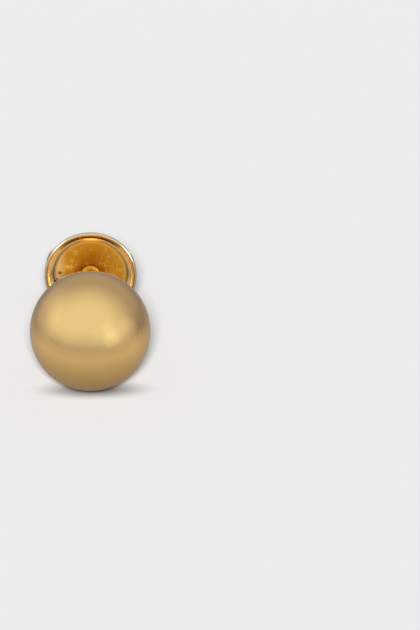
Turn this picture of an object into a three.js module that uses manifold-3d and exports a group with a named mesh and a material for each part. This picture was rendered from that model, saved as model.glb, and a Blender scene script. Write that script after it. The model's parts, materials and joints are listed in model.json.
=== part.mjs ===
// Ball stud earring with its disc-backed butterfly clutch, lying on a flat surface as it rests
// when it isn't worn. Millimetres, +Z up. The post points to +Y and slopes down a little,
// because the ball and the smaller disc both touch the surface.
import * as THREE from 'three';
import Module from 'manifold-3d';
import { mergeVertices } from 'three/addons/utils/BufferGeometryUtils.js';

// Driving dimensions of the ball and its post
const ballDiameter = 12;
const ballWall = 0.45;
const postDiameter = 0.9;
const postReach = 12;
const postSocket = 1.1;
const postTipRadius = 0.4;
const postFit = 0.05;

// Driving dimensions of the clutch's disc, a shallow dish with a round lip
const lobeGap = 7;
const discDiameter = 9.4;
const discSheet = 0.4;
const lipHeight = 0.5;
const dishWallRadius = 0.9;

// Driving dimensions of the butterfly spring and the eyelet drawn out of its middle
const stripThickness = 0.35;
const stripWidth = 2.8;
const wingSpan = 9.1;
const wingHeight = 2.6;
const wingCornerRadius = 1.2;
const curlRadius = 0.9;
const curlTurn = THREE.MathUtils.degToRad(250);
const wingTurn = THREE.MathUtils.degToRad(3);
const eyeletHeight = 0.9;
const eyeletNeckRadius = 0.8;
const eyeletSwageRadius = 0.94;
const eyeletSwageHeight = 0.25;
const eyeletNeckLength = 0.15;
const eyeletMouthRadius = 1;
const eyeletEdge = 0.1;
const eyeletEdgeEnd = THREE.MathUtils.degToRad(35);
const funnelDepth = 0.65;
const slidingFit = 0.05;
const seatGap = 0.05;

// Facets round each turned piece, and half the number of steps along each arc of an outline
const ballFacets = 48;
const ballArcSteps = 12;
const hollowArcSteps = 6;
const discFacets = 64;
const discArcSteps = 4;
const postFacets = 20;
const eyeletFacets = 32;
const smallArcSteps = 2;
const springArcSteps = 7;

// Sizes worked out from the driving dimensions
const ballRadius = ballDiameter / 2;
const hollowRadius = ballRadius - ballWall;
const postRadius = postDiameter / 2;
const drillRadius = postRadius + postFit;
const lipRadius = discSheet / 2;
const lipCircleRadius = discDiameter / 2 - lipRadius;
const eyeletHoleRadius = eyeletNeckRadius + seatGap;
const boreRadius = postRadius + slidingFit;
const floorStation = ballRadius + lobeGap + eyeletHeight;
const lipStation = floorStation - lipHeight + lipRadius;

const wasm = await Module();
wasm.setup();

function metal(color, roughness) {
  return new THREE.MeshStandardMaterial({ color, roughness, metalness: 1 });
}

// A piece turned about its own Y axis, with a flat facet underneath so that it can't roll
function turned(profile, facets) {
  return new THREE.LatheGeometry(profile, facets, Math.PI / facets);
}

function toSolid(geometry) {
  const bare = geometry.index ? geometry.toNonIndexed() : geometry.clone();
  bare.deleteAttribute('normal');
  bare.deleteAttribute('uv');
  const merged = mergeVertices(bare, 1e-4);
  const corners = [];
  for (let i = 0; i < merged.index.count; i += 3) {
    const [a, b, c] = [0, 1, 2].map((k) => merged.index.getX(i + k));
    if (a !== b && b !== c && c !== a) corners.push(a, b, c);
  }
  const vertProperties = new Float32Array(merged.attributes.position.array);
  const triVerts = new Uint32Array(corners);
  return new wasm.Manifold(new wasm.Mesh({ numProp: 3, vertProperties, triVerts }));
}

function toGeometry(solid) {
  const mesh = solid.getMesh();
  const geometry = new THREE.BufferGeometry();
  geometry.setAttribute('position', new THREE.BufferAttribute(mesh.vertProperties, 3));
  geometry.setIndex(new THREE.BufferAttribute(mesh.triVerts, 1));
  const flat = geometry.toNonIndexed();
  flat.computeVertexNormals();
  return flat;
}

// Hollow ball, open only at the hole drilled for the post
function makeBall() {
  const outerEnd = Math.acos(drillRadius / ballRadius);
  const innerEnd = Math.acos(drillRadius / hollowRadius);
  const skin = new THREE.Path();
  skin.absarc(0, 0, ballRadius, -Math.PI / 2, outerEnd, false);
  const hollow = new THREE.Path();
  hollow.absarc(0, 0, hollowRadius, innerEnd, -Math.PI / 2, true);
  const profile = [...skin.getPoints(ballArcSteps), ...hollow.getPoints(hollowArcSteps)];
  profile[0].x = 0;
  profile.at(-1).x = 0;
  const ball = new THREE.Mesh(turned(profile, ballFacets), metal(0xe2bd7c, 0.12));
  ball.name = 'ball';
  return ball;
}

// Plain round post, pegged into the ball, with a rounded tip
function makePost() {
  const tip = ballRadius + postReach;
  const path = new THREE.Path();
  path.moveTo(0, ballRadius - postSocket);
  path.lineTo(postRadius, ballRadius - postSocket);
  path.lineTo(postRadius, tip - postTipRadius);
  path.absarc(postRadius - postTipRadius, tip - postTipRadius, postTipRadius, 0, Math.PI / 2, false);
  path.lineTo(0, tip);
  const post = new THREE.Mesh(turned(path.getPoints(smallArcSteps), postFacets), metal(0xdcb46a, 0.2));
  post.name = 'post';
  return post;
}

// Dished disc: flat floor, concave wall and a half-round lip, all one sheet thick.
// Its Y zero is the floor's face towards the ear, and the lip stands up to minus Y.
function makeClutchDisc() {
  const wallCentreY = -dishWallRadius;
  const reach = dishWallRadius + lipRadius;
  const lipY = lipRadius - lipHeight;
  const wallCentreR = lipCircleRadius - Math.sqrt(reach ** 2 - (lipY - wallCentreY) ** 2);
  const join = Math.atan2(lipY - wallCentreY, lipCircleRadius - wallCentreR);
  const path = new THREE.Path();
  path.moveTo(eyeletHoleRadius, discSheet);
  path.lineTo(eyeletHoleRadius, 0);
  path.absarc(wallCentreR, wallCentreY, dishWallRadius, Math.PI / 2, join, true);
  path.absarc(lipCircleRadius, lipY, lipRadius, join - Math.PI, join, false);
  path.absarc(wallCentreR, wallCentreY, dishWallRadius + discSheet, join, Math.PI / 2, false);
  path.lineTo(eyeletHoleRadius, discSheet);
  const disc = new THREE.Mesh(turned(path.getPoints(discArcSteps), discFacets), metal(0xd9a146, 0.16));
  disc.name = 'clutch_disc';
  return disc;
}

// Side view of the spring strip: base, outer bends, and curls that grip the post between them
function springStrip() {
  const bendRadius = wingHeight / 2;
  const bendX = wingSpan / 2 - bendRadius;
  const curlX = postRadius + slidingFit + curlRadius;
  const curlY = wingHeight - curlRadius;
  const curlEnd = Math.PI / 2 + curlTurn;
  const wing = new THREE.Path();
  wing.moveTo(0, 0);
  wing.lineTo(bendX, 0);
  wing.absarc(bendX, bendRadius, bendRadius, -Math.PI / 2, Math.PI / 2, false);
  wing.absarc(curlX, curlY, curlRadius, Math.PI / 2, curlEnd, false);
  wing.absarc(curlX, curlY, curlRadius - stripThickness, curlEnd, Math.PI / 2, true);
  wing.absarc(bendX, bendRadius, bendRadius - stripThickness, Math.PI / 2, -Math.PI / 2, true);
  wing.lineTo(0, stripThickness);
  const right = wing.getPoints(springArcSteps).slice(1, -1);
  const left = right.map((point) => new THREE.Vector2(-point.x, point.y)).reverse();
  const depth = 2 * stripWidth;
  const strip = new THREE.ExtrudeGeometry(new THREE.Shape([...right, ...left]), {
    depth,
    bevelEnabled: false,
  });
  return strip.translate(0, 0, -depth / 2);
}

// The strip's outline seen along the post, a rectangle with rounded corners, as a tall prism
function springPlan() {
  const endClearance = 0.02;
  const inX = wingSpan / 2 + endClearance - wingCornerRadius;
  const inZ = stripWidth / 2 - wingCornerRadius;
  const plan = new THREE.Shape();
  plan.absarc(inX, inZ, wingCornerRadius, 0, Math.PI / 2, false);
  plan.absarc(-inX, inZ, wingCornerRadius, Math.PI / 2, Math.PI, false);
  plan.absarc(-inX, -inZ, wingCornerRadius, Math.PI, 1.5 * Math.PI, false);
  plan.absarc(inX, -inZ, wingCornerRadius, 1.5 * Math.PI, 2 * Math.PI, false);
  const depth = 2 * wingHeight;
  const prism = new THREE.ExtrudeGeometry(plan, {
    depth,
    bevelEnabled: false,
    curveSegments: springArcSteps,
  });
  return prism.rotateX(-Math.PI / 2).translate(0, -depth / 4, 0);
}

// Eyelet before its bore: it starts inside the strip, passes the disc, is swaged out over the
// disc's floor and ends in a flared mouth
function eyeletBlank(stripY) {
  const mouthY = -eyeletHeight;
  const swageTop = -seatGap;
  const swageEnd = swageTop - eyeletSwageHeight;
  const rootY = stripY + stripThickness / 2;
  const edgeR = eyeletMouthRadius - eyeletEdge;
  const path = new THREE.Path();
  path.moveTo(0, mouthY);
  path.lineTo(edgeR, mouthY);
  path.absarc(edgeR, mouthY + eyeletEdge, eyeletEdge, -Math.PI / 2, eyeletEdgeEnd, false);
  path.lineTo(eyeletNeckRadius, swageEnd - eyeletNeckLength);
  path.lineTo(eyeletNeckRadius, swageEnd);
  path.lineTo(eyeletSwageRadius, swageTop - eyeletSwageHeight / 2);
  path.lineTo(eyeletSwageRadius, swageTop);
  path.lineTo(eyeletNeckRadius, swageTop);
  path.lineTo(eyeletNeckRadius, rootY);
  path.lineTo(0, rootY);
  return turned(path.getPoints(smallArcSteps), eyeletFacets);
}

// The bore for the post, opened into a funnel at the mouth
function eyeletBore() {
  const mouthY = -eyeletHeight;
  const mouthBore = eyeletMouthRadius - 2 * eyeletEdge;
  const beyond = 1;
  const slope = (mouthBore - boreRadius) / funnelDepth;
  const path = new THREE.Path();
  path.moveTo(0, mouthY - beyond);
  path.lineTo(mouthBore + slope * beyond, mouthY - beyond);
  path.lineTo(boreRadius, mouthY + funnelDepth);
  path.lineTo(boreRadius, wingHeight + beyond);
  path.lineTo(0, wingHeight + beyond);
  return turned(path.getPoints(smallArcSteps), eyeletFacets);
}

// Butterfly spring: one strip with its wings scrolled back to the post, and its eyelet
function makeButterfly() {
  const stripY = discSheet + seatGap;
  const strip = toSolid(springStrip().translate(0, stripY, 0));
  const plan = toSolid(springPlan());
  const blank = toSolid(eyeletBlank(stripY));
  const bore = toSolid(eyeletBore());
  const solid = strip.intersect(plan).add(blank).subtract(bore);
  const butterfly = new THREE.Mesh(toGeometry(solid), metal(0xcfa35a, 0.25));
  butterfly.name = 'butterfly';
  butterfly.rotation.y = wingTurn;
  return butterfly;
}

// Tilt at which the ball and the disc's lip touch the same level surface
function restTilt() {
  const reach = Math.hypot(lipStation, lipCircleRadius);
  const rise = Math.atan2(lipCircleRadius, lipStation);
  return Math.asin((ballRadius - lipRadius) / reach) - rise;
}

const clutch = new THREE.Group();
clutch.position.y = floorStation;
clutch.add(makeClutchDisc(), makeButterfly());

const stud = new THREE.Group();
stud.rotation.x = -restTilt();
stud.add(makeBall(), makePost(), clutch);

// The origin is on the surface, under the middle of the whole earring
const earring = new THREE.Group();
earring.add(stud);
earring.updateMatrixWorld(true);
const bounds = new THREE.Box3().setFromObject(earring, true);
stud.position.x = -(bounds.min.x + bounds.max.x) / 2;
stud.position.y = -(bounds.min.y + bounds.max.y) / 2;
stud.position.z = -bounds.min.z;
earring.updateMatrixWorld(true);

export default earring;
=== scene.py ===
# A ball stud earring with its disc-backed butterfly clutch, lying by itself on a pale table.
import json
import math

import bmesh
import bpy
from mathutils import Matrix, Vector


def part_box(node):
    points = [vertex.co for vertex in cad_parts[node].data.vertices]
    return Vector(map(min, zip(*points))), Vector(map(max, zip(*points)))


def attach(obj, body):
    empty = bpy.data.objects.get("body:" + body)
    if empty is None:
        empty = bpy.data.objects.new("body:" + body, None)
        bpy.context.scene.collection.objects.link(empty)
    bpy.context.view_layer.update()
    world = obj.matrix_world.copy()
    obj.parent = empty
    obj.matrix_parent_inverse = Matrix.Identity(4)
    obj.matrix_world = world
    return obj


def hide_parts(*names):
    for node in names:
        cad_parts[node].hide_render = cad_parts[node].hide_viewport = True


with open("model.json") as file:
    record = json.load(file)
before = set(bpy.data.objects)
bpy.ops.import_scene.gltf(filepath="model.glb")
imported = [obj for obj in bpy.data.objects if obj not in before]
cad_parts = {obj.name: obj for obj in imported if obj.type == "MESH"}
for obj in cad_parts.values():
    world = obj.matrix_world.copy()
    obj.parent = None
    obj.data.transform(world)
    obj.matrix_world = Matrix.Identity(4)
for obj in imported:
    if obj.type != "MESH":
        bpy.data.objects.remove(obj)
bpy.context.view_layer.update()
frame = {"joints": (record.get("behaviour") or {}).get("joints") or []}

# The ball
# A hollow ball pressed from pale gold-coloured metal and polished to a soft gloss. It is drilled
# once at the back for the post, which is pegged into it.
ball_radius = 0.006
ball_wall = 0.00045
drill_radius = 0.0005
drill_edge = 0.00008
ball_rows = 120
hollow_rows = 40
ball_facets = 160

# Each piece is drawn about its own Y axis from the ball's centre, then laid down with the post
post_direction = Vector(frame["joints"][0]["axis"])
ball_low, ball_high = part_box("ball")
ball_centre = (ball_low + ball_high) / 2
slope = math.atan2(post_direction.z, post_direction.y)
lay_down = Matrix.Translation(ball_centre) @ Matrix.Rotation(slope, 4, "X")


def arc(centre_r, centre_s, radius, start, end, steps):
    """Points (radius, station) along an arc; its angles are in degrees."""
    turns = [math.radians(start + (end - start) * i / steps) for i in range(steps + 1)]
    return [(centre_r + radius * math.cos(t), centre_s + radius * math.sin(t)) for t in turns]


def link(tree, source, target):
    tree.links.new(source, target)


def feed(tree, value, socket):
    """Links a socket to another node's socket, or gives it a plain value."""
    if isinstance(value, bpy.types.NodeSocket):
        link(tree, value, socket)
    else:
        socket.default_value = value


def add_node(tree, kind, place, **settings):
    node = tree.nodes.new(kind)
    node.location = place
    for key, value in settings.items():
        setattr(node, key, value)
    return node


def integer_math(tree, operation, a, b, place):
    node = add_node(tree, "FunctionNodeIntegerMath", place, operation=operation)
    feed(tree, a, node.inputs[0])
    feed(tree, b, node.inputs[1])
    return node.outputs[0]


def float_math(tree, operation, a, b=0.0, place=(0, 0)):
    node = add_node(tree, "ShaderNodeMath", place, operation=operation)
    feed(tree, a, node.inputs[0])
    feed(tree, b, node.inputs[1])
    return node.outputs[0]


# Points closer than this are joined, at a turned piece's seam and poles
pole_gap = 1e-7


def turning_tree():
    """Turns a chain of profile points about the Y axis into a round piece."""
    tree = bpy.data.node_groups.new("Turned piece", "GeometryNodeTree")
    face = tree.interface
    face.new_socket("Profile", in_out="INPUT", socket_type="NodeSocketGeometry")
    face.new_socket("Facets", in_out="INPUT", socket_type="NodeSocketInt")
    face.new_socket("Material", in_out="INPUT", socket_type="NodeSocketMaterial")
    face.new_socket("Piece", in_out="OUTPUT", socket_type="NodeSocketGeometry")
    given = add_node(tree, "NodeGroupInput", (-1200, 0))
    profile, facets, material = given.outputs[0], given.outputs[1], given.outputs[2]

    size = add_node(tree, "GeometryNodeAttributeDomainSize", (-1000, 200), component="MESH")
    link(tree, profile, size.inputs[0])
    rows = size.outputs["Point Count"]
    grid = add_node(tree, "GeometryNodeMeshGrid", (-600, 300))
    link(tree, integer_math(tree, "ADD", facets, 1, (-800, 300)), grid.inputs["Vertices X"])
    link(tree, rows, grid.inputs["Vertices Y"])

    index = add_node(tree, "GeometryNodeInputIndex", (-1000, -200)).outputs[0]
    row = integer_math(tree, "MODULO", index, rows, (-800, -200))
    column = integer_math(tree, "DIVIDE_FLOOR", index, rows, (-800, -350))
    place = add_node(tree, "GeometryNodeInputPosition", (-800, -50)).outputs[0]
    sample = add_node(tree, "GeometryNodeSampleIndex", (-600, -50), data_type="FLOAT_VECTOR")
    link(tree, profile, sample.inputs["Geometry"])
    link(tree, place, sample.inputs["Value"])
    link(tree, row, sample.inputs["Index"])
    split = add_node(tree, "ShaderNodeSeparateXYZ", (-400, -50))
    link(tree, sample.outputs[0], split.inputs[0])
    share = float_math(tree, "DIVIDE", column, facets, (-600, -350))
    angle = float_math(tree, "MULTIPLY", share, math.tau, (-450, -350))
    across = float_math(tree, "MULTIPLY", split.outputs[0], float_math(tree, "SINE", angle), (-200, 0))
    above = float_math(tree, "MULTIPLY", split.outputs[0], float_math(tree, "COSINE", angle), (-200, -200))
    turned = add_node(tree, "ShaderNodeCombineXYZ", (0, -50))
    link(tree, across, turned.inputs[0])
    link(tree, split.outputs[1], turned.inputs[1])
    link(tree, above, turned.inputs[2])

    moved = add_node(tree, "GeometryNodeSetPosition", (200, 200))
    link(tree, grid.outputs["Mesh"], moved.inputs["Geometry"])
    link(tree, turned.outputs[0], moved.inputs["Position"])
    closed = add_node(tree, "GeometryNodeMergeByDistance", (400, 200))
    closed.inputs["Distance"].default_value = pole_gap
    link(tree, moved.outputs[0], closed.inputs["Geometry"])
    finish_tree(tree, closed.outputs[0], material)
    return tree


def finish_tree(tree, geometry, material):
    """Smooth shading, real geometry and the material close every tree."""
    smooth = add_node(tree, "GeometryNodeSetShadeSmooth", (600, 200))
    link(tree, geometry, smooth.inputs["Geometry"])
    real = add_node(tree, "GeometryNodeRealizeInstances", (800, 200))
    link(tree, smooth.outputs[0], real.inputs[0])
    coated = add_node(tree, "GeometryNodeSetMaterial", (1000, 200))
    link(tree, real.outputs[0], coated.inputs["Geometry"])
    link(tree, material, coated.inputs["Material"])
    out = add_node(tree, "NodeGroupOutput", (1200, 200))
    link(tree, coated.outputs[0], out.inputs[0])


def chain(name, points):
    """An object whose mesh is one open chain of points."""
    mesh = bpy.data.meshes.new(name)
    places = [(x, y, 0.0) for x, y in points]
    steps = [(i, i + 1) for i in range(len(points) - 1)]
    mesh.from_pydata(places, steps, [])
    piece = bpy.data.objects.new(name, mesh)
    bpy.context.scene.collection.objects.link(piece)
    return piece


# Edges shorter than this are dissolved in a finished mesh
sliver = 1e-8


def run_tree(piece, tree, **values):
    """Runs a tree on a piece and keeps its result as a plain mesh, laid down with the stud."""
    modifier = piece.modifiers.new("Shape", "NODES")
    modifier.node_group = tree
    for item in tree.interface.items_tree:
        if item.in_out == "INPUT" and item.name in values:
            modifier[item.identifier] = values[item.name]
    depsgraph = bpy.context.evaluated_depsgraph_get()
    depsgraph.update()
    made = bpy.data.meshes.new_from_object(piece.evaluated_get(depsgraph), depsgraph=depsgraph)
    piece.modifiers.clear()
    piece.data = made
    made.transform(lay_down)
    tidy = bmesh.new()
    tidy.from_mesh(made)
    bmesh.ops.dissolve_degenerate(tidy, dist=sliver, edges=tidy.edges)
    bmesh.ops.recalc_face_normals(tidy, faces=tidy.faces)
    tidy.to_mesh(made)
    tidy.free()
    return piece


def map_range(tree, value, source, target, place, smooth=False):
    """Turns a value that runs over one range into another range, and holds it at the ends."""
    node = add_node(tree, "ShaderNodeMapRange", place)
    node.interpolation_type = "SMOOTHSTEP" if smooth else "LINEAR"
    labels = ("Value", "From Min", "From Max", "To Min", "To Max")
    for label, given in zip(labels, (value, *source, *target)):
        feed(tree, given, node.inputs[label])
    return node.outputs[0]


marks_defaults = {
    "Scratch Scale": 900.0,
    "Scratch Width": 0.02,
    "Smudge Scale": 160.0,
    "Base Roughness": 0.05,
    "Smudge": 0.04,
    "Scratch": 0.1,
}
scratch_headings = (25, -50)
scratch_stretch = 0.08
smudge_detail = 4.0
smudge_edge = (0.5, 0.72)


def handling_marks():
    """Fine scratches and smudges, as a height and as a share added to the roughness."""
    tree = bpy.data.node_groups.new("Handling marks", "ShaderNodeTree")
    face = tree.interface
    for label, value in marks_defaults.items():
        face.new_socket(label, in_out="INPUT", socket_type="NodeSocketFloat").default_value = value
    face.new_socket("Roughness", in_out="OUTPUT", socket_type="NodeSocketFloat")
    face.new_socket("Height", in_out="OUTPUT", socket_type="NodeSocketFloat")
    given = add_node(tree, "NodeGroupInput", (-1200, 0)).outputs
    coords = add_node(tree, "ShaderNodeTexCoord", (-1200, 300)).outputs["Object"]

    # Long thin cells give short straight scratches, in two directions, broken up by a noise
    lines = []
    for number, heading in enumerate(scratch_headings):
        row = 300 - 300 * number
        laid = add_node(tree, "ShaderNodeMapping", (-1000, row))
        laid.inputs["Rotation"].default_value = (0.0, math.radians(heading), math.radians(2 * heading))
        laid.inputs["Scale"].default_value = (1.0, 1.0, scratch_stretch)
        link(tree, coords, laid.inputs["Vector"])
        cells = add_node(tree, "ShaderNodeTexVoronoi", (-800, row), feature="DISTANCE_TO_EDGE")
        link(tree, laid.outputs[0], cells.inputs["Vector"])
        link(tree, given["Scratch Scale"], cells.inputs["Scale"])
        width = (0.0, given["Scratch Width"])
        lines.append(map_range(tree, cells.outputs["Distance"], width, (1.0, 0.0), (-600, row)))
    both = float_math(tree, "MAXIMUM", lines[0], lines[1], (-400, 200))
    patches = add_node(tree, "ShaderNodeTexNoise", (-800, -400))
    link(tree, coords, patches.inputs["Vector"])
    link(tree, given["Smudge Scale"], patches.inputs["Scale"])
    patches.inputs["Detail"].default_value = smudge_detail
    cover = map_range(tree, patches.outputs[0], smudge_edge, (0.0, 1.0), (-600, -400))
    scratches = float_math(tree, "MULTIPLY", both, cover, (-200, 200))

    smudge = float_math(tree, "MULTIPLY", cover, given["Smudge"], (-200, -200))
    worn = float_math(tree, "MULTIPLY", scratches, given["Scratch"], (-200, 0))
    marked = float_math(tree, "ADD", smudge, worn, (0, -100))
    rough = float_math(tree, "ADD", marked, given["Base Roughness"], (200, 0))
    out = add_node(tree, "NodeGroupOutput", (400, 0))
    link(tree, rough, out.inputs["Roughness"])
    link(tree, float_math(tree, "MULTIPLY", scratches, -1.0, (200, 200)), out.inputs["Height"])
    return tree


swell_scale = 220.0
swell_detail = 1.0


def gold(name, color, roughness, smudge, scratch, scratch_scale, bump, swell):
    """Polished gold-coloured metal with its own share of smudges, scratches and unevenness."""
    material = bpy.data.materials.new(name)
    material.use_nodes = True
    tree = material.node_tree
    shader = tree.nodes["Principled BSDF"]
    shader.inputs["Metallic"].default_value = 1.0
    shader.inputs["Base Color"].default_value = (*color, 1.0)
    marks = add_node(tree, "ShaderNodeGroup", (-700, 0), node_tree=marks_tree)
    marks.inputs["Base Roughness"].default_value = roughness
    marks.inputs["Smudge"].default_value = smudge
    marks.inputs["Scratch"].default_value = scratch
    marks.inputs["Scratch Scale"].default_value = scratch_scale
    link(tree, marks.outputs["Roughness"], shader.inputs["Roughness"])
    coords = add_node(tree, "ShaderNodeTexCoord", (-900, -300)).outputs["Object"]
    waves = add_node(tree, "ShaderNodeTexNoise", (-700, -300))
    link(tree, coords, waves.inputs["Vector"])
    waves.inputs["Scale"].default_value = swell_scale
    waves.inputs["Detail"].default_value = swell_detail
    uneven = add_node(tree, "ShaderNodeBump", (-400, -300))
    uneven.inputs["Distance"].default_value = swell
    link(tree, waves.outputs[0], uneven.inputs["Height"])
    scratched = add_node(tree, "ShaderNodeBump", (-200, -200))
    scratched.inputs["Distance"].default_value = bump
    link(tree, marks.outputs["Height"], scratched.inputs["Height"])
    link(tree, uneven.outputs[0], scratched.inputs["Normal"])
    link(tree, scratched.outputs[0], shader.inputs["Normal"])
    return material


marks_tree = handling_marks()
turned_piece = turning_tree()
ball_gold = gold(
    "Polished pale gold",
    (0.93, 0.65, 0.26),
    roughness=0.15,
    smudge=0.05,
    scratch=0.12,
    scratch_scale=520.0,
    bump=9e-7,
    swell=2e-6,
)

outer_end = math.degrees(math.acos((drill_radius + drill_edge) / ball_radius))
inner_end = math.degrees(math.acos(drill_radius / (ball_radius - ball_wall)))
ball_profile = arc(0, 0, ball_radius, -90, outer_end, ball_rows)
ball_profile += arc(0, 0, ball_radius - ball_wall, inner_end, -90, hollow_rows)
ball_profile[0] = (0.0, -ball_radius)
ball_profile[-1] = (0.0, ball_wall - ball_radius)
ball_chain = chain("polished_ball", ball_profile)
ball = run_tree(ball_chain, turned_piece, Facets=ball_facets, Material=ball_gold)
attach(ball, "stud")
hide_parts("ball")

# The post
# A straight drawn wire with a rounded tip, pegged into the ball's drilled hole. It is plain,
# because only its place between ball and disc can be told from the eyelet it runs in.
post_radius = 0.00045
post_socket = 0.0011
post_reach = 0.012
post_tip_radius = 0.0004
post_edge_steps = 4
post_tip_steps = 12
post_facets = 48
post_gold = gold(
    "Drawn gold wire",
    (0.93, 0.63, 0.22),
    roughness=0.12,
    smudge=0.05,
    scratch=0.1,
    scratch_scale=1500.0,
    bump=2e-7,
    swell=1e-7,
)

post_start = ball_radius - post_socket
post_end = ball_radius + post_reach
post_shoulder = post_end - post_tip_radius
post_profile = [(0.0, post_start), (post_radius - drill_edge, post_start)]
edge_circle = post_radius - drill_edge
tip_circle = post_radius - post_tip_radius
post_profile += arc(edge_circle, post_start + drill_edge, drill_edge, -90, 0, post_edge_steps)
post_profile += arc(tip_circle, post_shoulder, post_tip_radius, 0, 90, post_tip_steps)
post_profile += [(0.0, post_end)]
post_chain = chain("post_wire", post_profile)
post = run_tree(post_chain, turned_piece, Facets=post_facets, Material=post_gold)
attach(post, "stud")
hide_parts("post")

# The clutch's disc
# A large shallow dish stamped from sheet, with a flat floor, a concave wall and a half-round
# lip. It spreads the clutch's pull over the back of the ear lobe.
lobe_gap = 0.007
disc_radius = 0.0047
disc_sheet = 0.0004
lip_height = 0.0005
dish_wall_radius = 0.0009
disc_hole_radius = 0.00085
eyelet_height = 0.0009
wall_steps = 16
lip_steps = 24
disc_facets = 192
floor_station = ball_radius + lobe_gap + eyelet_height

# The floor's deep gold is painted reflection between the dish and the ball; the wall's pale gold is
# painted reflected light
floor_painted_deep_gold = (0.68, 0.345, 0.026, 1.0)
wall_foot_painted_gold = (0.96, 0.60, 0.16, 1.0)
wall_painted_pale_gold = (1.0, 0.73, 0.29, 1.0)
rim_gold = (0.80, 0.63, 0.38, 1.0)
floor_roughness = 0.55
rim_roughness = 0.12
clutch_gold = gold(
    "Stamped gold with painted reflection",
    floor_painted_deep_gold[:3],
    roughness=floor_roughness,
    smudge=0.06,
    scratch=0.12,
    scratch_scale=1100.0,
    bump=6e-7,
    swell=3e-6,
)
clutch_tree = clutch_gold.node_tree
clutch_marks = next(node for node in clutch_tree.nodes if node.type == "GROUP")
ramp_radius = 0.005


def vector_math(tree, operation, a, b=(0.0, 0.0, 0.0), place=(0, 0)):
    """Gives a vector or, for a length, a distance or a dot product, a number."""
    node = add_node(tree, "ShaderNodeVectorMath", place, operation=operation)
    feed(tree, a, node.inputs[0])
    feed(tree, b, node.inputs[1])
    gives_number = operation in ("LENGTH", "DISTANCE", "DOT_PRODUCT")
    return node.outputs["Value" if gives_number else "Vector"]


def radius_ramp(share, stops, place):
    """Colours of the clutch by the distance from the post's axis, given as radius and colour."""
    node = add_node(clutch_tree, "ShaderNodeValToRGB", place)
    link(clutch_tree, share, node.inputs[0])
    elements = node.color_ramp.elements
    while len(elements) < len(stops):
        elements.new(0.5)
    for element, (radius, color) in zip(elements, stops):
        element.position = radius / ramp_radius
        element.color = color
    return node.outputs[0]


# The Mix node's sockets for colours, which share their names with its sockets for numbers
mix_share, mix_under, mix_over, mix_result = 0, 6, 7, 2


def lay_over(tree, share, under, over, place):
    """Mixes one colour over another."""
    node = add_node(tree, "ShaderNodeMix", place, data_type="RGBA")
    feed(tree, share, node.inputs[mix_share])
    feed(tree, under, node.inputs[mix_under])
    feed(tree, over, node.inputs[mix_over])
    return node.outputs[mix_result]


# The gold is painted deep on the dish's floor as light bounced between dish and ball, painted
# paler up its wall as reflected light, and greyer on the rim. The floor is worn dull, and the rim
# is still bright.
tint_and_painted_light_stops = [
    (0.0033, floor_painted_deep_gold),
    (0.0036, wall_foot_painted_gold),
    (0.00375, wall_painted_pale_gold),
    (0.00415, wall_painted_pale_gold),
    (0.0044, rim_gold),
]
polish_radii = (0.0034, 0.0038)
clutch_coords = add_node(clutch_tree, "ShaderNodeTexCoord", (-1700, 500)).outputs["Object"]
from_axis = vector_math(clutch_tree, "SUBTRACT", clutch_coords, ball_centre, (-1500, 500))
square_on = vector_math(clutch_tree, "CROSS_PRODUCT", from_axis, post_direction, (-1300, 500))
from_post = vector_math(clutch_tree, "LENGTH", square_on, place=(-1100, 500))
outward = float_math(clutch_tree, "DIVIDE", from_post, ramp_radius, (-900, 500))
tint_and_painted_light = radius_ramp(outward, tint_and_painted_light_stops, (-700, 500))
roughnesses = (floor_roughness, rim_roughness)
clutch_roughness = map_range(clutch_tree, from_post, polish_radii, roughnesses, (-900, 250))
link(clutch_tree, clutch_roughness, clutch_marks.inputs["Base Roughness"])

# The disc is painted paler towards -X as painted reflected light, from the first of two places on
# and fully at the second
pale_side_painted_gold = (1.0, 0.74, 0.34, 1.0)
pale_side_places = (-0.0023, -0.0034)
pale_side_share = 0.8
beside = add_node(clutch_tree, "ShaderNodeSeparateXYZ", (-1100, 1600))
link(clutch_tree, from_axis, beside.inputs[0])
to_share = (0.0, pale_side_share)
painted_pale_side = map_range(clutch_tree, beside.outputs[0], pale_side_places, to_share, (-900, 1600), smooth=True)
layers = lay_over(clutch_tree, painted_pale_side, tint_and_painted_light, pale_side_painted_gold, (-500, 1600))

# A dark shade is painted in the fold under the lip, at the top of the dish. Seen from the post,
# downward is -1 straight up and 1 straight down.
fold_painted_shade = (0.07, 0.045, 0.008, 1.0)
bare = (0.0, 0.0, 0.0, 1.0)
covered = (1.0, 1.0, 1.0, 1.0)
fold_stops = [(0.003975, bare), (0.00405, covered), (0.00435, covered), (0.00445, bare)]
fold_shade_heights = (-0.62, -0.86)
around = add_node(clutch_tree, "ShaderNodeSeparateXYZ", (-1100, 1000))
link(clutch_tree, square_on, around.inputs[0])
downward = float_math(clutch_tree, "DIVIDE", around.outputs[0], from_post, (-900, 1000))
near_top = map_range(clutch_tree, downward, fold_shade_heights, (0.0, 1.0), (-700, 1000), smooth=True)
in_fold = radius_ramp(outward, fold_stops, (-700, 1200))
along = vector_math(clutch_tree, "DOT_PRODUCT", from_axis, post_direction, (-1300, 1200))
in_dish = float_math(clutch_tree, "LESS_THAN", along, floor_station, (-700, 1400))
fold_shade_share = float_math(clutch_tree, "MULTIPLY", near_top, in_fold, (-500, 1000))
fold_shade_share = float_math(clutch_tree, "MULTIPLY", fold_shade_share, in_dish, (-400, 1000))
layers = lay_over(clutch_tree, fold_shade_share, layers, fold_painted_shade, (-300, 1000))

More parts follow.
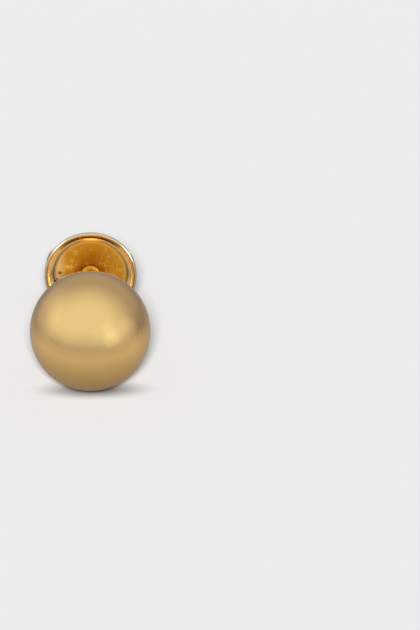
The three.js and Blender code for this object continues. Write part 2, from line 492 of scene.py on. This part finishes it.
# Scratches and small flecks show lighter than the deep gold
fleck_gold = (0.97, 0.66, 0.20, 1.0)
fleck_scale = 2300.0
fleck_detail = 2.0
fleck_edge = (0.585, 0.66)
fleck_share = 0.5
scratch_share = 0.9
scratched = float_math(clutch_tree, "MULTIPLY", clutch_marks.outputs["Height"], -scratch_share)
grains = add_node(clutch_tree, "ShaderNodeTexNoise", (-900, 800))
link(clutch_tree, clutch_coords, grains.inputs["Vector"])
grains.inputs["Scale"].default_value = fleck_scale
grains.inputs["Detail"].default_value = fleck_detail
flecks = map_range(clutch_tree, grains.outputs[0], fleck_edge, (0.0, fleck_share), (-700, 800))
lighter = float_math(clutch_tree, "MAXIMUM", flecks, scratched, (-500, 700))
layers = lay_over(clutch_tree, lighter, layers, fleck_gold, (-300, 700))

# Three small dark stains near the edge of the dish's floor: each has its place across and above
# the middle, and its radius
soil = (0.22, 0.09, 0.02, 1.0)
stains = [
    (-0.00312, 0.0001, 0.00026),
    (-0.0034, -0.0006, 0.00018),
    (-0.0036, -0.0008, 0.00022),
]
stain_core = 0.4
stain_share = 0.9
for across, above, spread in stains:
    stain_place = lay_down @ Vector((across, floor_station, above))
    off = vector_math(clutch_tree, "DISTANCE", clutch_coords, stain_place, (-900, 1400))
    edge = (stain_core * spread, spread)
    stained = map_range(clutch_tree, off, edge, (stain_share, 0.0), (-700, 1400), smooth=True)
    layers = lay_over(clutch_tree, stained, layers, soil, (-300, 1400))
link(clutch_tree, layers, clutch_tree.nodes["Principled BSDF"].inputs["Base Color"])

lip_radius = disc_sheet / 2
lip_circle = disc_radius - lip_radius
lip_drop = dish_wall_radius + lip_radius - lip_height
wall_centre = lip_circle - math.sqrt((dish_wall_radius + lip_radius) ** 2 - lip_drop**2)
join = math.degrees(math.atan2(lip_drop, lip_circle - wall_centre))
wall_station = floor_station - dish_wall_radius
lip_station = floor_station - lip_height + lip_radius
disc_profile = [(disc_hole_radius, floor_station + disc_sheet), (disc_hole_radius, floor_station)]
disc_profile += arc(wall_centre, wall_station, dish_wall_radius, 90, join, wall_steps)
disc_profile += arc(lip_circle, lip_station, lip_radius, join - 180, join, lip_steps)
disc_profile += arc(wall_centre, wall_station, dish_wall_radius + disc_sheet, join, 90, wall_steps)
disc_profile += [disc_profile[0]]
disc_chain = chain("dished_disc", disc_profile)
disc = run_tree(disc_chain, turned_piece, Facets=disc_facets, Material=clutch_gold)
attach(disc, "clutch")
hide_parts("clutch_disc")

# The butterfly spring and its eyelet
# One strip of spring sheet, scrolled into two wings whose curls grip the post between them. Its
# middle is drawn out into an eyelet that passes the disc and is swaged over it.
spring_gold = gold(
    "Rolled spring gold",
    (0.95, 0.60, 0.18),
    roughness=0.14,
    smudge=0.05,
    scratch=0.10,
    scratch_scale=1100.0,
    bump=3e-7,
    swell=1e-6,
)

# Sizes are in metres, and turns in degrees
strip_thickness = 0.00035
strip_width = 0.0028
strip_edge = 0.00006
wing_span = 0.0091
wing_height = 0.0026
wing_corner = 0.0012
curl_radius = 0.0009
curl_turn = 250
wing_turn = 3
sliding_fit = 0.00005
seat_gap = 0.00005
strip_station = floor_station + disc_sheet + seat_gap
eyelet_neck = 0.0008
eyelet_swage = 0.00094
eyelet_swage_height = 0.00025
eyelet_neck_length = 0.00015
eyelet_mouth = 0.001
eyelet_edge = 0.0001
funnel_depth = 0.00065
funnel_turn = 35
swage_turn = -60
strip_edge_steps = 4
bend_steps = 32
curl_steps = 40
base_steps = 12
bore_facets = 48
mouth_steps = 16
swage_steps = 8
eyelet_facets = 96
sharp_turn = 35


def spring_tree():
    """Sweeps a strip along its side view, narrows its ends to a rounded plan and bores it."""
    tree = bpy.data.node_groups.new("Scrolled strip", "GeometryNodeTree")
    face = tree.interface
    face.new_socket("Path", in_out="INPUT", socket_type="NodeSocketGeometry")
    for label in ("Width", "Thickness", "Edge", "Half Span", "Corner", "Bore"):
        face.new_socket(label, in_out="INPUT", socket_type="NodeSocketFloat")
    face.new_socket("Material", in_out="INPUT", socket_type="NodeSocketMaterial")
    face.new_socket("Piece", in_out="OUTPUT", socket_type="NodeSocketGeometry")
    given = add_node(tree, "NodeGroupInput", (-1400, 0)).outputs

    path = add_node(tree, "GeometryNodeMeshToCurve", (-1200, 300))
    link(tree, given["Path"], path.inputs["Mesh"])
    level = add_node(tree, "GeometryNodeSetCurveNormal", (-1000, 300), mode="FREE")
    level.inputs["Normal"].default_value = (0.0, 0.0, 1.0)
    link(tree, path.outputs[0], level.inputs["Curve"])
    section = add_node(tree, "GeometryNodeCurvePrimitiveQuadrilateral", (-1200, -100))
    link(tree, given["Width"], section.inputs["Width"])
    link(tree, given["Thickness"], section.inputs["Height"])
    eased = add_node(tree, "GeometryNodeFilletCurve", (-1000, -100), mode="POLY")
    eased.inputs["Count"].default_value = strip_edge_steps
    link(tree, section.outputs[0], eased.inputs["Curve"])
    link(tree, given["Edge"], eased.inputs["Radius"])
    swept = add_node(tree, "GeometryNodeCurveToMesh", (-800, 200))
    swept.inputs["Fill Caps"].default_value = True
    link(tree, level.outputs[0], swept.inputs["Curve"])
    link(tree, eased.outputs[0], swept.inputs["Profile Curve"])

    # Seen along the post, each end is rounded: the width shrinks along a circle at the corners
    place = add_node(tree, "GeometryNodeInputPosition", (-1000, -400)).outputs[0]
    split = add_node(tree, "ShaderNodeSeparateXYZ", (-800, -400))
    link(tree, place, split.inputs[0])
    out_x = float_math(tree, "ABSOLUTE", split.outputs[0])
    corner_x = float_math(tree, "SUBTRACT", given["Half Span"], given["Corner"])
    past = float_math(tree, "MAXIMUM", float_math(tree, "SUBTRACT", out_x, corner_x), 0.0)
    corner_squared = float_math(tree, "POWER", given["Corner"], 2.0)
    square = float_math(tree, "SUBTRACT", corner_squared, float_math(tree, "POWER", past, 2.0))
    rise = float_math(tree, "SQRT", float_math(tree, "MAXIMUM", square, 0.0))
    half_width = float_math(tree, "MULTIPLY", given["Width"], 0.5)
    kept = float_math(tree, "ADD", float_math(tree, "SUBTRACT", half_width, given["Corner"]), rise)
    share = float_math(tree, "DIVIDE", kept, half_width)
    rounded = add_node(tree, "ShaderNodeCombineXYZ", (0, -300))
    link(tree, split.outputs[0], rounded.inputs[0])
    link(tree, split.outputs[1], rounded.inputs[1])
    link(tree, float_math(tree, "MULTIPLY", split.outputs[2], share), rounded.inputs[2])
    moved = add_node(tree, "GeometryNodeSetPosition", (200, 200))
    link(tree, swept.outputs[0], moved.inputs["Geometry"])
    link(tree, rounded.outputs[0], moved.inputs["Position"])

    drill = add_node(tree, "GeometryNodeMeshCylinder", (0, -600))
    drill.inputs["Vertices"].default_value = bore_facets
    link(tree, given["Bore"], drill.inputs["Radius"])
    link(tree, given["Half Span"], drill.inputs["Depth"])
    upright = add_node(tree, "GeometryNodeTransform", (200, -600))
    upright.inputs["Rotation"].default_value = (math.pi / 2, 0.0, 0.0)
    upright.inputs["Translation"].default_value = (0.0, strip_station, 0.0)
    link(tree, drill.outputs["Mesh"], upright.inputs["Geometry"])
    bored = add_node(tree, "GeometryNodeMeshBoolean", (400, 200), operation="DIFFERENCE")
    link(tree, moved.outputs[0], bored.inputs["Mesh 1"])
    link(tree, upright.outputs[0], bored.inputs["Mesh 2"])
    finish_tree(tree, bored.outputs["Mesh"], given["Material"])
    return tree


# The strip's middle line in side view, from one curl's end through the base to the other's
half_strip = strip_thickness / 2
bend_radius = wing_height / 2
bend_x = wing_span / 2 - bend_radius
curl_x = post_radius + sliding_fit + curl_radius
curl_y = strip_station + wing_height - curl_radius
bend_y = strip_station + bend_radius
right_wing = arc(bend_x, bend_y, bend_radius - half_strip, -90, 90, bend_steps)
right_wing += arc(curl_x, curl_y, curl_radius - half_strip, 90, 90 + curl_turn, curl_steps)
left_wing = [(-x, y) for x, y in reversed(right_wing)]
base_y = strip_station + half_strip
base = [(-bend_x + 2 * bend_x * i / base_steps, base_y) for i in range(1, base_steps)]
spring_path = chain("butterfly_spring", left_wing + base + right_wing)

lay_down = lay_down @ Matrix.Rotation(math.radians(wing_turn), 4, "Y")
spring = run_tree(
    spring_path,
    spring_tree(),
    Width=strip_width,
    Thickness=strip_thickness,
    Edge=strip_edge,
    Corner=wing_corner,
    Bore=post_radius + sliding_fit,
    Material=spring_gold,
    **{"Half Span": wing_span / 2},
)
spring.data.set_sharp_from_angle(angle=math.radians(sharp_turn))
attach(spring, "clutch")
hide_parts("butterfly")

mouth_station = floor_station - eyelet_height
bore = post_radius + sliding_fit
mouth_circle = eyelet_mouth - eyelet_edge
mouth_top = mouth_station + eyelet_edge
swage_circle = eyelet_swage - eyelet_edge
swage_top = floor_station - seat_gap
swage_end = swage_top - eyelet_swage_height
eyelet_end = strip_station - seat_gap / 2
eyelet_profile = [(bore, eyelet_end), (bore, mouth_station + funnel_depth)]
eyelet_profile += arc(mouth_circle, mouth_top, eyelet_edge, -180, funnel_turn, mouth_steps)
eyelet_profile += [(eyelet_neck, swage_end - eyelet_neck_length), (eyelet_neck, swage_end)]
eyelet_profile += arc(swage_circle, swage_top - eyelet_edge, eyelet_edge, swage_turn, 90, swage_steps)
eyelet_profile += [(eyelet_neck, swage_top), (eyelet_neck, eyelet_end)]
eyelet_profile += [eyelet_profile[0]]
eyelet_chain = chain("swaged_eyelet", eyelet_profile)
eyelet = run_tree(eyelet_chain, turned_piece, Facets=eyelet_facets, Material=clutch_gold)
eyelet.data.set_sharp_from_angle(angle=math.radians(sharp_turn))
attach(eyelet, "clutch")
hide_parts("butterfly")

# The table
# A plain pale surface that runs out of sight, with a soft grey shadow painted where the ball
# stands. The metal sees it duller than the camera does, as it sees the dimmer ground round a lit spot.
table_half = 1.2
table_roughness = 0.9
ground = bpy.data.meshes.new("table")
corners = [(-1, -1), (1, -1), (1, 1), (-1, 1)]
ground_points = [(table_half * x, table_half * y, 0.0) for x, y in corners]
ground.from_pydata(ground_points, [], [(0, 1, 2, 3)])
table = bpy.data.objects.new("table", ground)
bpy.context.scene.collection.objects.link(table)
pale = bpy.data.materials.new("Pale table")
pale.use_nodes = True
pale_tree = pale.node_tree
pale_shader = pale_tree.nodes["Principled BSDF"]
pale_shader.inputs["Roughness"].default_value = table_roughness
pale_shader.inputs["Specular IOR Level"].default_value = 0.0
table_rays = add_node(pale_tree, "ShaderNodeLightPath", (-700, 0)).outputs
spot = add_node(pale_tree, "ShaderNodeTexCoord", (-1300, 200)).outputs["Object"]

# In the metal the table is warm in front and painted darker behind. It has painted shade close
# under the ball, and a painted pool of light between the ball and the disc.
table_front_in_metal = (0.285, 0.257, 0.245, 1.0)
table_back_in_metal = (0.158, 0.148, 0.150, 1.0)
front_to_back = (-0.012, 0.012)
under_ball_shade_level = 0.69
under_ball_reach = (0.003, 0.018)
between_light_level = 3.0
between_y = 0.0035
between_reach = (0.003, 0.007)


def patch(centre_y, reach, level):
    """A share that is level near a point of the table and turns to one over its reach."""
    away = vector_math(pale_tree, "DISTANCE", spot, (0.0, centre_y, 0.0), (-900, 600))
    return map_range(pale_tree, away, reach, (level, 1.0), (-700, 600), smooth=True)


spot_parts = add_node(pale_tree, "ShaderNodeSeparateXYZ", (-1100, 0))
link(pale_tree, spot, spot_parts.inputs[0])
spot_y = spot_parts.outputs[1]
backward = map_range(pale_tree, spot_y, front_to_back, (0.0, 1.0), (-900, 0), smooth=True)
grey = lay_over(pale_tree, backward, table_front_in_metal, table_back_in_metal, (-700, -200))
painted_shade_under_ball = patch(ball_centre.y, under_ball_reach, under_ball_shade_level)
painted_light_between = patch(between_y, between_reach, between_light_level)
painted_shade_and_light = float_math(pale_tree, "MULTIPLY", painted_shade_under_ball, painted_light_between, (-600, 600))
dulled = add_node(pale_tree, "ShaderNodeVectorMath", (-500, -200), operation="SCALE")
link(pale_tree, grey, dulled.inputs[0])
link(pale_tree, painted_shade_and_light, dulled.inputs["Scale"])

# A soft grey shadow is painted on the table where the ball stands
table_white = 0.90
shade_middle = 0.11
shade_across = 0.0003
shade_back = -0.0014
shade_half_width = 0.0070
shade_half_depth = 0.0023
shade_place = (shade_across, ball_centre.y + shade_back, 0.0)
shade_size = (shade_half_width, shade_half_depth, 1.0)
under = vector_math(pale_tree, "SUBTRACT", spot, shade_place, (-1100, -500))
oval = vector_math(pale_tree, "DIVIDE", under, shade_size, (-900, -500))
outness = vector_math(pale_tree, "LENGTH", oval, place=(-700, -500))
shades = (shade_middle, table_white)
shade = map_range(pale_tree, outness, (0.0, 1.0), shades, (-500, -500), smooth=True)
paper = lay_over(pale_tree, table_rays["Is Glossy Ray"], shade, dulled.outputs[0], (-400, 0))
link(pale_tree, paper, pale_shader.inputs["Base Color"])

# Far off, the metal sees the light tent in place of the table, so that no hard horizon shows
fade_reach = (0.006, 0.080)
far_off = vector_math(pale_tree, "LENGTH", spot, place=(-700, 400))
fade_out = map_range(pale_tree, far_off, fade_reach, (0.0, 1.0), (-500, 400), smooth=True)
gone = float_math(pale_tree, "MULTIPLY", fade_out, table_rays["Is Glossy Ray"], (-300, 400))
open_air = add_node(pale_tree, "ShaderNodeBsdfTransparent", (-300, 200))
either = add_node(pale_tree, "ShaderNodeMixShader", (300, 200))
link(pale_tree, gone, either.inputs[0])
link(pale_tree, pale_shader.outputs[0], either.inputs[1])
link(pale_tree, open_air.outputs[0], either.inputs[2])
link(pale_tree, either.outputs[0], pale_tree.nodes["Material Output"].inputs["Surface"])
ground.materials.append(pale)

# The light
# A white tent, brightest round the camera, with two softboxes at its right and a pale wall at
# each side. A lamp just above the camera lights the table alone, and two small ones the clutch.
world = bpy.data.worlds.new("Tent")
bpy.context.scene.world = world
world.use_nodes = True
sky = world.node_tree
background = sky.nodes["Background"]
heading = add_node(sky, "ShaderNodeTexCoord", (-1400, 0)).outputs["Generated"]


def direction(azimuth, elevation):
    """Out from the earring, in degrees: azimuth 0 is to the front, and 90 to the right."""
    a, e = math.radians(azimuth), math.radians(elevation)
    return Vector((math.sin(a) * math.cos(e), -math.cos(a) * math.cos(e), math.sin(e)))


def glow(azimuth, elevation, near, far, low, high):
    """A soft round field of light about one direction: high within near degrees, low past far."""
    toward = vector_math(sky, "DOT_PRODUCT", heading, direction(azimuth, elevation), (-1200, 0))
    edges = (math.cos(math.radians(far)), math.cos(math.radians(near)))
    return map_range(sky, toward, edges, (low, high), (-1000, 0), smooth=True)


# The tent is dim at the back and near the table, and dips a little low down in front
tent_low = 0.46
tent_high = 0.90
tent_foot = 0.38
front_dip = 0.08
tent = glow(azimuth=-8, elevation=32, near=35, far=110, low=tent_low, high=tent_high)
foot = glow(azimuth=0, elevation=90, near=60, far=125, low=tent_foot, high=1.0)
dip = glow(azimuth=-12, elevation=-2, near=2, far=40, low=1.0, high=1.0 - front_dip)
shaded = float_math(sky, "MULTIPLY", float_math(sky, "MULTIPLY", tent, foot), dip, (-700, 0))

# Two softboxes and two side walls add to it: azimuth, elevation, near, far and gain of each
added = [
    (39, 26, 2, 20, 0.11),
    (42, 6, 2, 20, 0.22),
    (-108, 8, 5, 50, 0.20),
    (75, 0, 2, 34, 0.20),
]
open_tent = shaded
for azimuth, elevation, near, far, gain in added:
    extra = glow(azimuth, elevation, near, far, 0.0, gain)
    open_tent = float_math(sky, "ADD", open_tent, extra, (-700, 0))


def sky_mix(share, first, second, place):
    """A strength of the sky that goes from the first to the second by a share."""
    node = add_node(sky, "ShaderNodeMix", place, data_type="FLOAT")
    feed(sky, share, node.inputs["Factor"])
    feed(sky, first, node.inputs["A"])
    feed(sky, second, node.inputs["B"])
    return node.outputs[0]


# The table is lit by a plain even sky, more strongly where it is seen in the metal, and hardly by
# what the metal throws on it. What is seen by way of two pieces of metal is brighter again, which
# lights the deep dish. The camera sees a plain pale backdrop.
ambient = 0.16
ambient_in_metal = 1.6
glare_cut = 0.8
mirrored_twice = 0.7
backdrop = 0.83
rays = add_node(sky, "ShaderNodeLightPath", (-1000, 400)).outputs
in_metal = float_math(sky, "MINIMUM", rays["Glossy Depth"], 1.0, (-800, 500))
on_table = float_math(sky, "MINIMUM", rays["Diffuse Depth"], 1.0, (-800, 350))
mirrored = float_math(sky, "SUBTRACT", rays["Is Glossy Ray"], on_table, (-600, 350))
again = float_math(sky, "SUBTRACT", rays["Glossy Depth"], 1.0, (-900, 200))
again = float_math(sky, "MINIMUM", float_math(sky, "MAXIMUM", again, 0.0), 1.0, (-800, 200))
again = float_math(sky, "ADD", float_math(sky, "MULTIPLY", again, mirrored_twice), 1.0, (-700, 200))
bright = float_math(sky, "MULTIPLY", open_tent, again, (-600, 0))
only_table = float_math(sky, "SUBTRACT", in_metal, rays["Is Glossy Ray"], (-600, 500))
even = sky_mix(only_table, ambient, ambient_in_metal, (-500, 500))
glare = float_math(sky, "MULTIPLY", rays["Is Glossy Ray"], glare_cut, (-600, 700))
kept = float_math(sky, "SUBTRACT", 1.0, glare, (-500, 700))
even = float_math(sky, "MULTIPLY", float_math(sky, "MULTIPLY", even, again), kept, (-400, 500))
seen = sky_mix(mirrored, even, bright, (-300, 200))
shown = sky_mix(rays["Is Camera Ray"], seen, backdrop, (-100, 200))
link(sky, shown, background.inputs["Strength"])

# Where the tent is dim, the metal sees its light a little rosy
white = (1.0, 1.0, 1.0, 1.0)
dim_tone = (1.0, 0.93, 1.04, 1.0)
dim_strengths = (0.75, 0.45)
dimness = map_range(sky, shaded, dim_strengths, (0.0, 1.0), (-500, -300))
rosy = float_math(sky, "MULTIPLY", dimness, mirrored, (-300, -300))
link(sky, lay_over(sky, rosy, white, dim_tone, (-100, -300)), background.inputs["Color"])


def lit_only(name, pieces):
    """The pieces that a lamp lights."""
    lit = bpy.data.collections.new(name)
    for piece in pieces:
        lit.objects.link(piece)
    return lit


def distant_lamp(name, azimuth, elevation, power, spread, lit):
    """A lamp far off in one direction, which lights only the pieces of one collection."""
    data = bpy.data.lights.new(name, "SUN")
    data.energy = power
    data.angle = math.radians(spread)
    lamp = bpy.data.objects.new(name, data)
    lamp.rotation_mode = "QUATERNION"
    lamp.rotation_quaternion = direction(azimuth, elevation).to_track_quat("Z", "Y")
    lamp.light_linking.receiver_collection = lit
    bpy.context.scene.collection.objects.link(lamp)
    return lamp


front_lamp = distant_lamp(
    "Front lamp",
    azimuth=-1,
    elevation=34,
    power=4.33,
    spread=12,
    lit=lit_only("Lit by the front lamp", [table]),
)
front_lamp.visible_glossy = False

# Two small lamps give the clutch's lip its bright glints: azimuth, elevation and power of each
glints = [(45.8, 5.9, 1.5), (-38.4, 15.2, 0.6)]
glint_spread = 20
on_clutch = lit_only("Lit by the small lamps", [disc, eyelet, spring])
for number, (azimuth, elevation, power) in enumerate(glints):
    distant_lamp(f"Small lamp {number + 1}", azimuth, elevation, power, glint_spread, on_clutch)
bpy.context.scene.view_settings.view_transform = "Standard"

# The camera
# It looks down on the ball from the front, with a long lens, so that the disc shows above the
# ball as it does in the photograph. The earring lies left of the middle of the frame.
camera_place = Vector((0.00364, -0.41683, 0.24804))
camera_azimuth = -1.1575
camera_elevation = 30.324
camera_data = bpy.data.cameras.new("camera")
camera_data.lens = 273.44
camera_data.sensor_width = 36.0
camera_data.clip_start = 0.01
camera_data.clip_end = 5.0
camera = bpy.data.objects.new("camera", camera_data)
camera.location = camera_place
camera.rotation_mode = "QUATERNION"
camera.rotation_quaternion = direction(camera_azimuth, camera_elevation).to_track_quat("Z", "Y")
bpy.context.scene.collection.objects.link(camera)
bpy.context.scene.camera = camera
